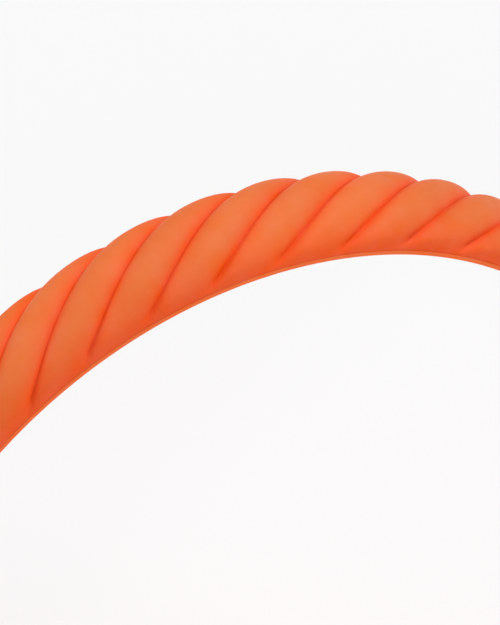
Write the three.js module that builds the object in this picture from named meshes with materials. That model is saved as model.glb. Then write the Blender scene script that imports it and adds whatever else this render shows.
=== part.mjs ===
import * as THREE from 'three';

// Twisted hair band, in millimetres. +Z up, worn face-on along -Y.
// The origin is the middle of the crown's inner face, where the band rests on the head.

const CROWN_RADIUS = 65;          // inner face, from ear to ear over the head
const CROWN_HALF_ANGLE = 80 * Math.PI / 180;
const ARM_RADIUS = 170;           // the arms bend less than the crown
const ARM_LENGTH = 79;

const LINER_THICKNESS = 0.7;
const LINER_HALF_WIDTH = 8.62;
const LINER_TIP_HALF_WIDTH = 4.6;

const SEAM = 0.3;                 // clearance between the liner and the cover
const COVER_HALF_WIDTH = 8.56;
const COVER_TIP_HALF_WIDTH = 4.3;
const COVER_THICKNESS = 5.05;     // mean height of the twisted surface over its base
const COVER_TIP_THICKNESS = 1.6;

const FLUTE_PITCH = 10.535;       // along the inner face
const FLUTES_PER_SIDE = 16;
const FLUTE_RISE = 1.38;          // from groove to crest
const FLUTE_SHARPNESS = 0.92;     // 1 is a row of touching half circles
const FLUTE_MEAN = 0.6;
const TWIST_ADVANCE = 10.36;      // along the band, per radian round the section
const TWIST_EASING = -0.65;
const FLUTE_SKEW = 0.16;          // towards each edge the crests lean to one side of their flutes
const FLUTE_FOOT = 0.42;          // flutes die out this far from each edge, in radians
const FLUTE_FADE = 16;            // and over this length before each tip

const TWIST_RELEASE = 48;         // near each tip the mesh turns square to the band again
const COVER_STEPS = 6;            // rings per flute
const SECTION_STEPS = 10;         // points over the outer face
const BASE_STEPS = 3;             // points between its edges, on the liner's side
const LINER_STEPS = 150;

const CROWN_LENGTH = CROWN_RADIUS * CROWN_HALF_ANGLE;
const HALF_LENGTH = CROWN_LENGTH + ARM_LENGTH;
const TAPER_START = CROWN_LENGTH * 0.72;
const COVER_HALF_LENGTH = FLUTES_PER_SIDE * FLUTE_PITCH;   // the liner shows past it at each tip

function smooth(t) {
  const c = Math.min(1, Math.max(0, t));
  return c * c * (3 - 2 * c);
}

// Point on the inner face at arc length s from the crown, and the way out of the band there.
function innerFace(s) {
  const side = Math.sign(s) || 1;
  const along = Math.abs(s);
  const crown = Math.min(along, CROWN_LENGTH);
  const angle = crown / CROWN_RADIUS;
  let x = CROWN_RADIUS * Math.sin(angle);
  let z = CROWN_RADIUS * (Math.cos(angle) - 1);
  let heading = angle;
  if (along > CROWN_LENGTH) {
    heading = angle + (along - CROWN_LENGTH) / ARM_RADIUS;
    x += ARM_RADIUS * (Math.sin(heading) - Math.sin(angle));
    z += ARM_RADIUS * (Math.cos(heading) - Math.cos(angle));
  }
  return { x: side * x, z, outX: side * Math.sin(heading), outZ: Math.cos(heading) };
}

// Share of the full section that is left at arc length s: 1 over the crown, 0 at the tip.
function fullness(s) {
  return 1 - smooth((Math.abs(s) - TAPER_START) / (HALF_LENGTH - TAPER_START));
}

function mix(tip, crown, s) {
  return tip + (crown - tip) * fullness(s);
}

// Ends are drawn in over the last few millimetres, so that each tip is rounded.
function rounding(s, end, reach) {
  const t = Math.min(1, Math.max(0, (Math.abs(s) - (end - reach)) / reach));
  return Math.sqrt(1 - 0.8 * t * t);
}

// One flute across its pitch: 0 in the groove, 1 on the crest, which stands at this share of the pitch.
function flute(phase, crest) {
  const across = phase - Math.floor(phase);
  const t = across < crest ? across / crest - 1 : (across - crest) / (1 - crest);
  const low = Math.sqrt(1 - FLUTE_SHARPNESS ** 2);
  return (Math.sqrt(1 - (FLUTE_SHARPNESS * t) ** 2) - low) / (1 - low);
}

// Bends a closed section, given at each arc length, along the band.
// The tube geometry supplies the closed skin and its end caps.
function sweep(halfLength, rings, points, section) {
  const skin = new THREE.CylinderGeometry(1, 1, 2, points, rings, false);
  const place = skin.attributes.position;
  for (let i = 0; i < place.count; i += 1) {
    const s = halfLength * place.getY(i);
    const atCentre = Math.hypot(place.getX(i), place.getZ(i)) < 0.5;
    const turn = Math.atan2(place.getX(i), place.getZ(i)) / (2 * Math.PI);
    const index = Math.round((turn - Math.floor(turn)) * points) % points;
    const spot = atCentre ? section(s, -1) : section(s, index);
    const base = innerFace(spot.along);
    place.setXYZ(
      i,
      base.x + base.outX * spot.height,
      spot.across,
      base.z + base.outZ * spot.height,
    );
  }
  return skin;
}

// The flutes get shallower along the arms, but less than the section does.
function fullnessOfFlute(s) {
  return 0.35 + 0.65 * fullness(s);
}

function linerSection(s, index) {
  const half = mix(LINER_TIP_HALF_WIDTH, LINER_HALF_WIDTH, s) * rounding(s, HALF_LENGTH, 4.5);
  if (index < 0) return { along: s, across: 0, height: LINER_THICKNESS / 2 };
  const corner = [[1, 0], [1, 1], [-1, 1], [-1, 0]][index];
  return { along: s, across: half * corner[0], height: LINER_THICKNESS * corner[1] };
}

// How far along the band a groove has moved at an angle round the section.
function twist(angle) {
  return TWIST_ADVANCE * angle + TWIST_EASING * angle ** 3;
}

// The cover's rings of points lean over with the twist, so that they follow the grooves.
function coverSection(ring, index) {
  const onTop = index <= SECTION_STEPS;
  const t = onTop ? index / SECTION_STEPS : (index - SECTION_STEPS) / (BASE_STEPS + 1);
  const angle = (onTop ? 0.5 - t : t - 0.5) * Math.PI;
  const lean = smooth((COVER_HALF_LENGTH - Math.abs(ring)) / TWIST_RELEASE);
  const along = index < 0 ? ring : ring + lean * twist(angle);
  const round = rounding(along, COVER_HALF_LENGTH, 4);
  const half = mix(COVER_TIP_HALF_WIDTH, COVER_HALF_WIDTH, along) * round;
  const thick = mix(COVER_TIP_THICKNESS, COVER_THICKNESS, along) * round;
  const base = LINER_THICKNESS + SEAM;
  if (index < 0) return { along, across: 0, height: base + thick * 0.4 };
  if (!onTop) return { along, across: half * Math.sin(angle), height: base };
  const edge = smooth((Math.PI / 2 - Math.abs(angle)) / FLUTE_FOOT);
  const end = smooth((COVER_HALF_LENGTH - Math.abs(along)) / FLUTE_FADE);
  const rise = FLUTE_RISE * fullnessOfFlute(along) * edge * end;
  const phase = (along - twist(angle)) / FLUTE_PITCH + 0.5;
  const crest = 0.5 + FLUTE_SKEW * Math.sin(angle) ** 3;
  const lift = rise * (flute(phase, crest) - FLUTE_MEAN);
  const up = Math.cos(angle) / thick;
  const out = Math.sin(angle) / half;
  const length = Math.hypot(up, out);
  return {
    along,
    across: half * Math.sin(angle) + lift * out / length,
    height: base + thick * Math.abs(Math.cos(angle)) + lift * up / length,
  };
}

function material(colour, roughness) {
  return new THREE.MeshStandardMaterial({ color: colour, roughness, metalness: 0 });
}

function piece(name, geometry, look) {
  const mesh = new THREE.Mesh(geometry, look);
  mesh.name = name;
  return mesh;
}

const coverRings = 2 * FLUTES_PER_SIDE * COVER_STEPS;
const liner = sweep(HALF_LENGTH, LINER_STEPS, 4, linerSection);
const cover = sweep(COVER_HALF_LENGTH, coverRings, SECTION_STEPS + 1 + BASE_STEPS, coverSection);

const part = new THREE.Group();
part.name = 'twisted_hair_band';
part.add(piece('inner_band', liner, material(0xf0703c, 0.5)));
part.add(piece('twisted_cover', cover, material(0xf1652f, 0.55)));

export default part;
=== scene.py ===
import math

import bpy
from mathutils import Matrix, Vector


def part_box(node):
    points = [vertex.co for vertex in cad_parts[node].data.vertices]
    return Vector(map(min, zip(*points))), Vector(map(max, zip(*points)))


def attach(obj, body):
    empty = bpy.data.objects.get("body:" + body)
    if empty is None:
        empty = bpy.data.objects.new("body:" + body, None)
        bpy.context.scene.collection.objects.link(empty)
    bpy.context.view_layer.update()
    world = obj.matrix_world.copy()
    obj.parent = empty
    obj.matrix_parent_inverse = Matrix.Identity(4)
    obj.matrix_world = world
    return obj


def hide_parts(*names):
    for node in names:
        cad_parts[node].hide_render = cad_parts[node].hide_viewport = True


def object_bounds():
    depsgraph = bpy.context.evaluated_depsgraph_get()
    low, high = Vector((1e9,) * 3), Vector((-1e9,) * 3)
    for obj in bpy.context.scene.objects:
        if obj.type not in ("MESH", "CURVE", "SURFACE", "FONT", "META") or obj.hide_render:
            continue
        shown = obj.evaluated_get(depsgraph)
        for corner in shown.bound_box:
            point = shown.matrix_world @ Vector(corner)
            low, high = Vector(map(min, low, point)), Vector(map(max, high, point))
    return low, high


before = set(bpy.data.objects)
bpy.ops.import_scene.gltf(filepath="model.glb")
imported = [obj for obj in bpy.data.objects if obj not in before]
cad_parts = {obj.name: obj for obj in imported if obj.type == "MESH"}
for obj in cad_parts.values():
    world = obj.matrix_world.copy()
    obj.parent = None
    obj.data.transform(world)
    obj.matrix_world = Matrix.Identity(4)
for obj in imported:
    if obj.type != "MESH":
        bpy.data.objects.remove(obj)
start_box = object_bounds()

# A twisted hair band. Lengths are in metres, and s is arc length along its inner face,
# from 0 at the top of the crown.

# The inner face: a round crown, then two gently bent arms.
CROWN_RADIUS = 0.065
CROWN_HALF_ANGLE = math.radians(80)
ARM_RADIUS = 0.170
ARM_LENGTH = 0.079
CROWN_LENGTH = CROWN_RADIUS * CROWN_HALF_ANGLE
HALF_LENGTH = CROWN_LENGTH + ARM_LENGTH
TAPER_START = CROWN_LENGTH * 0.72
# How round the tips are: 0 is square, and 1 would close them to an edge.
TIP_ROUNDING = 0.94

# The cover without its flutes. It starts where the CAD's strip ends, and is as wide as in the CAD.
COVER_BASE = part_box("inner_band")[1][2]
COVER_HALF_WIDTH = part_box("twisted_cover")[1][1]
COVER_THICKNESS = 0.00536
COVER_TIP_HALF_WIDTH = 0.0043
COVER_TIP_THICKNESS = 0.00198
COVER_TIP_REACH = 0.004

# The smooth strip under the cover. It is a little wider than the cover without its flutes,
# and a fine line parts the two.
LIP = 0.00003
FINE_LINE = 0.00002
STRIP_HALF_WIDTH = COVER_HALF_WIDTH + LIP
STRIP_THICKNESS = COVER_BASE - FINE_LINE
STRIP_TIP_HALF_WIDTH = 0.0046
STRIP_TIP_REACH = 0.0045
STRIP_EDGE = 0.00004
STRIP_RINGS = 400

# The flutes, which move along the band as they go round its section.
FLUTE_PITCH = 0.010535
FLUTES_PER_SIDE = 16
COVER_HALF_LENGTH = FLUTES_PER_SIDE * FLUTE_PITCH
FLUTE_RISE = 0.00138
FLUTE_SHARPNESS = 0.92
FLUTE_MEAN = 0.6
FLUTE_TIP_SHARE = 0.35
FLUTE_FADE = 0.016
FLUTE_FOOT = 0.42
FLUTE_SKEW = 0.2
SKEW_POWER = 7
TWIST_ADVANCE = 0.01036
TWIST_EASING = -0.00065
TWIST_RELEASE = 0.048
RINGS_PER_FLUTE = 24

# The tone that picks the cover's colour, as painted light and shade. It rises from the shaded foot
# to the lit top of the section, and from the painted shade in each groove to the painted highlight
# on the crests beside it.
SHADED_FOOT_TONE = 0.3
LIT_TOP_TONE = 0.65
TONE_REACH = 1.1
TONE_EASE = 0.55
TONE_MIDDLE = 0.71
FOOT_SHADE_CONTRAST = 0.3

# Colours of the plastic, with painted light and shade: shaded ones for the grooves and the foot, a
# lit one for the crests.
SHADED_GROOVE = (0.80, 0.063, 0.005)
SHADED_FOOT = (0.87, 0.094, 0.014)
LIT_CREST = (0.765, 0.168, 0.043)
STRIP = (0.90, 0.155, 0.033)

# The photograph's view. It is nearly parallel, and SEEN is the height that it takes in.
AZIMUTH = math.radians(-28.31)
ELEVATION = math.radians(39.30)
DISTANCE = 2.0
SEEN = 0.0912
AIM_RIGHT = 0.0027
AIM_UP = -0.0096

FLOOR_SIZE = 60
FLOOR_GAP = 0.0005


def smooth(t):
    """Eases from 0 to 1 as t goes from 0 to 1."""
    c = min(1.0, max(0.0, t))
    return c * c * (3 - 2 * c)


def inner_face(s):
    """Point on the inner face at s, and the way out of the band there."""
    side = -1 if s < 0 else 1
    along = abs(s)
    angle = min(along, CROWN_LENGTH) / CROWN_RADIUS
    x = CROWN_RADIUS * math.sin(angle)
    z = CROWN_RADIUS * (math.cos(angle) - 1)
    heading = angle
    if along > CROWN_LENGTH:
        heading = angle + (along - CROWN_LENGTH) / ARM_RADIUS
        x += ARM_RADIUS * (math.sin(heading) - math.sin(angle))
        z += ARM_RADIUS * (math.cos(heading) - math.cos(angle))
    return side * x, z, side * math.sin(heading), math.cos(heading)


def place(s, across, height):
    """Point at a height over the inner face."""
    x, z, out_x, out_z = inner_face(s)
    return Vector((x + out_x * height, across, z + out_z * height))


def fullness(s):
    """Share of the full section at s: 1 over the crown, 0 at a tip."""
    return 1 - smooth((abs(s) - TAPER_START) / (HALF_LENGTH - TAPER_START))


def mix(tip, crown, s):
    """A size at s that runs from its value at a tip to its value over the crown."""
    return tip + (crown - tip) * fullness(s)


def rounding(s, end, reach):
    """Share of the width that is left at s, where a tip is rounded over its last stretch."""
    t = min(1.0, max(0.0, (abs(s) - (end - reach)) / reach))
    return math.sqrt(1 - TIP_ROUNDING * t * t)


def flute(phase, peak):
    """Height across one flute, 0 in the groove and 1 at the peak."""
    part = phase - math.floor(phase)
    t = part / peak - 1 if part < peak else (part - peak) / (1 - peak)
    low = math.sqrt(1 - FLUTE_SHARPNESS ** 2)
    return (math.sqrt(1 - (FLUTE_SHARPNESS * t) ** 2) - low) / (1 - low)


def twist(angle):
    """How far along the band a groove has moved at an angle round the section."""
    return TWIST_ADVANCE * angle + TWIST_EASING * angle ** 3


def cover_half_width(s):
    half = mix(COVER_TIP_HALF_WIDTH, COVER_HALF_WIDTH, s)
    return half * rounding(s, COVER_HALF_LENGTH, COVER_TIP_REACH)


def outer_point(s, angle):
    """Point on the cover's fluted outer face, and its tone of painted light and shade. The angle is
    0 at the top.
    """
    half = cover_half_width(s)
    thick = mix(COVER_TIP_THICKNESS, COVER_THICKNESS, s)
    thick *= rounding(s, COVER_HALF_LENGTH, COVER_TIP_REACH)
    from_edge = math.pi / 2 - abs(angle)
    near_end = smooth((COVER_HALF_LENGTH - abs(s)) / FLUTE_FADE)
    share = mix(FLUTE_TIP_SHARE, 1, s) * smooth(from_edge / FLUTE_FOOT) * near_end
    phase = (s - twist(angle)) / FLUTE_PITCH + 0.5
    crest = flute(phase, 0.5 + FLUTE_SKEW * math.sin(angle) ** SKEW_POWER)
    lift = FLUTE_RISE * share * (crest - FLUTE_MEAN)
    up, out = math.cos(angle) / thick, math.sin(angle) / half
    length = math.hypot(up, out)
    height = COVER_BASE + thick * abs(math.cos(angle)) + lift * up / length
    point = place(s, half * math.sin(angle) + lift * out / length, height)
    # Painted shade and light: darker towards the foot and in the grooves, lighter over the top and
    # on the crests.
    side = smooth(from_edge / TONE_REACH)
    contrast = share ** 2 * (FOOT_SHADE_CONTRAST + (1 - FOOT_SHADE_CONTRAST) * side)
    tone = SHADED_FOOT_TONE + (LIT_TOP_TONE - SHADED_FOOT_TONE) * side
    return point, tone + (crest ** TONE_EASE - TONE_MIDDLE) * contrast


def cover_ring(ring, top=60, under=10):
    """One ring round the cover. It leans along the band with the twist, less so near the tips."""
    lean = smooth((COVER_HALF_LENGTH - abs(ring)) / TWIST_RELEASE)
    points, tones = [], []
    # Over the top from one edge to the other, and then back underneath.
    for index in range(top + under):
        on_top = index <= top
        t = index / top if on_top else (index - top) / under
        angle = (0.5 - t if on_top else t - 0.5) * math.pi
        s = ring + lean * twist(angle)
        if on_top:
            point, tone = outer_point(s, angle)
        else:
            point = place(s, cover_half_width(s) * math.sin(angle), COVER_BASE)
            # Underneath takes the tone of the painted shade along the foot.
            tone = SHADED_FOOT_TONE
        points.append(point)
        tones.append(tone)
    return points, tones


def strip_ring(s, steps=4):
    """One ring round the strip: a flat bar with rounded edges."""
    half = mix(STRIP_TIP_HALF_WIDTH, STRIP_HALF_WIDTH, s)
    half *= rounding(s, HALF_LENGTH, STRIP_TIP_REACH)
    # Each corner's side, its level (0 below, 1 above) and the quarter turn where it starts.
    corners = ((1, 0, -1), (1, 1, 0), (-1, 1, 1), (-1, 0, 2))
    points = []
    for side, level, quarter in corners:
        mid_y = side * (half - STRIP_EDGE)
        mid_z = STRIP_EDGE + level * (STRIP_THICKNESS - 2 * STRIP_EDGE)
        for k in range(steps + 1):
            a = (quarter + k / steps) * math.pi / 2
            across = mid_y + STRIP_EDGE * math.cos(a)
            points.append(place(s, across, mid_z + STRIP_EDGE * math.sin(a)))
    return points, [0.0] * len(points)


def loft(name, rings):
    """A closed skin over rings of points, with each point's tone for the material."""
    count = len(rings[0][0])
    verts = [p for points, _ in rings for p in points]
    tones = [tone for _, values in rings for tone in values]
    faces = []
    for i in range(len(rings) - 1):
        for j in range(count):
            k = (j + 1) % count
            a, b = i * count, (i + 1) * count
            faces.append((a + j, a + k, b + k, b + j))
    for i, flip in ((0, True), (len(rings) - 1, False)):
        verts.append(sum(rings[i][0], Vector()) / count)
        tones.append(0.0)
        hub = len(verts) - 1
        for j in range(count):
            edge = (i * count + j, i * count + (j + 1) % count)
            faces.append((*(edge[::-1] if flip else edge), hub))
    mesh = bpy.data.meshes.new(name)
    mesh.from_pydata(verts, [], faces)
    mesh.attributes.new("crest", "FLOAT", "POINT").data.foreach_set("value", tones)
    mesh.shade_smooth()
    piece = bpy.data.objects.new(name, mesh)
    bpy.context.scene.collection.objects.link(piece)
    return piece


def evenly(half_length, count):
    """Places along the band, from one tip to the other in count equal steps."""
    return [half_length * (2 * i / count - 1) for i in range(count + 1)]


def noise(nodes, links, coords, scale, detail, low, high):
    """Noise in object space, stretched to run from low to high."""
    texture = nodes.new("ShaderNodeTexNoise")
    texture.inputs["Scale"].default_value = scale
    texture.inputs["Detail"].default_value = detail
    links.new(coords.outputs["Object"], texture.inputs["Vector"])
    spread = nodes.new("ShaderNodeMapRange")
    spread.inputs["From Min"].default_value = 0.3
    spread.inputs["From Max"].default_value = 0.7
    spread.inputs["To Min"].default_value = low
    spread.inputs["To Max"].default_value = high
    links.new(texture.outputs["Fac"], spread.inputs["Value"])
    return spread.outputs["Result"]


def plastic(name, groove, foot, crest, rough, grain):
    """Matte plastic: one colour in the grooves, one at the foot, one on the crests, faint grain. On
    the cover these colours are painted shade in the grooves and along the foot, and a painted
    highlight on the crests.
    """
    material = bpy.data.materials.new(name)
    material.use_nodes = True
    nodes, links = material.node_tree.nodes, material.node_tree.links
    shader = nodes["Principled BSDF"]
    coords = nodes.new("ShaderNodeTexCoord")
    tone = nodes.new("ShaderNodeAttribute")
    tone.attribute_name = "crest"
    ramp = nodes.new("ShaderNodeValToRGB")
    stops = ramp.color_ramp.elements
    stops[0].position, stops[0].color = 0.05, (*groove, 1)
    stops[1].position, stops[1].color = 0.95, (*crest, 1)
    stops.new(SHADED_FOOT_TONE).color = (*foot, 1)
    links.new(tone.outputs["Fac"], ramp.inputs["Fac"])
    tint = nodes.new("ShaderNodeHueSaturation")
    links.new(ramp.outputs["Color"], tint.inputs["Color"])
    links.new(noise(nodes, links, coords, 70, 3, 0.965, 1.035), tint.inputs["Value"])
    links.new(noise(nodes, links, coords, 240, 2, 0.985, 1.015), tint.inputs["Saturation"])
    links.new(tint.outputs["Color"], shader.inputs["Base Color"])
    roughness = noise(nodes, links, coords, 900, 2, rough - 0.05, rough + 0.06)
    links.new(roughness, shader.inputs["Roughness"])
    bump = nodes.new("ShaderNodeBump")
    bump.inputs["Strength"].default_value = grain
    bump.inputs["Distance"].default_value = 0.00004
    links.new(noise(nodes, links, coords, 3200, 3, 0, 1), bump.inputs["Height"])
    links.new(bump.outputs["Normal"], shader.inputs["Normal"])
    shader.inputs["Specular IOR Level"].default_value = 0.14
    shader.inputs["Subsurface Weight"].default_value = 0.12
    shader.inputs["Subsurface Radius"].default_value = (1.0, 0.35, 0.15)
    shader.inputs["Subsurface Scale"].default_value = 0.0012
    return material


def dress(piece, material, node):
    """The piece takes the material, and stands for a CAD node on the root body."""
    piece.data.materials.append(material)
    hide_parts(node)
    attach(piece, "root")


def photo_camera():
    towards = Vector((math.sin(AZIMUTH) * math.cos(ELEVATION),
                      -math.cos(AZIMUTH) * math.cos(ELEVATION), math.sin(ELEVATION)))
    right = Vector((math.cos(AZIMUTH), math.sin(AZIMUTH), 0))
    up = towards.cross(right)
    aim = right * AIM_RIGHT + up * AIM_UP
    lens = bpy.data.cameras.new("camera")
    lens.lens = lens.sensor_width * DISTANCE / SEEN
    lens.clip_end = 20
    camera = bpy.data.objects.new("camera", lens)
    turned = Matrix((right, up, towards)).transposed().to_4x4()
    camera.matrix_world = Matrix.Translation(aim + towards * DISTANCE) @ turned
    bpy.context.scene.collection.objects.link(camera)
    bpy.context.scene.camera = camera


def pale_floor(height):
    bpy.ops.mesh.primitive_plane_add(size=FLOOR_SIZE, location=(0, 0, height))
    floor = bpy.context.object
    floor.name = "floor"
    material = bpy.data.materials.new("pale_floor")
    material.use_nodes = True
    surface = material.node_tree.nodes["Principled BSDF"]
    surface.inputs["Base Color"].default_value = (0.85, 0.85, 0.85, 1)
    surface.inputs["Roughness"].default_value = 1
    surface.inputs["Specular IOR Level"].default_value = 0
    floor.data.materials.append(material)


def soft_world(strength):
    world = bpy.data.worlds.new("soft_world")
    world.use_nodes = True
    background = world.node_tree.nodes["Background"]
    background.inputs["Color"].default_value = (1, 1, 1, 1)
    background.inputs["Strength"].default_value = strength
    bpy.context.scene.world = world


def disk_light(name, where, size, power):
    """A round white light that faces the origin, at the top of the band's inner face."""
    data = bpy.data.lights.new(name, "AREA")
    data.shape = "DISK"
    data.size = size
    data.energy = power
    light = bpy.data.objects.new(name, data)
    light.location = where
    light.rotation_euler = (-Vector(where)).to_track_quat("-Z", "Y").to_euler()
    bpy.context.scene.collection.objects.link(light)


photo_camera()

cover_places = evenly(COVER_HALF_LENGTH, 2 * FLUTES_PER_SIDE * RINGS_PER_FLUTE)
cover = loft("fluted_cover", [cover_ring(s) for s in cover_places])
# The cover's colour holds painted shade in its grooves and along its foot, and painted light on its
# crests and top.
dress(cover, plastic("twisted_plastic_painted_shade", SHADED_GROOVE, SHADED_FOOT, LIT_CREST, 0.55, 0.25), "twisted_cover")

strip = loft("smooth_strip", [strip_ring(s) for s in evenly(HALF_LENGTH, STRIP_RINGS)])
dress(strip, plastic("strip_plastic", STRIP, STRIP, STRIP, 0.5, 0.1), "inner_band")

# A plain pale floor just under the tips, and soft white light, mostly from above.
pale_floor(start_box[0][2] - FLOOR_GAP)
soft_world(0.33)
disk_light("above", (1.1, 0.1, 2.4), 1.6, 40)
disk_light("back_left", (-1.5, 1.5, 1.3), 1.4, 21)
disk_light("front_left", (-1.25, -1.9, 1.1), 1.4, 15)
disk_light("front_right", (1.6, -1.5, 1.2), 1.4, 11)
bpy.context.scene.view_settings.view_transform = "Standard"
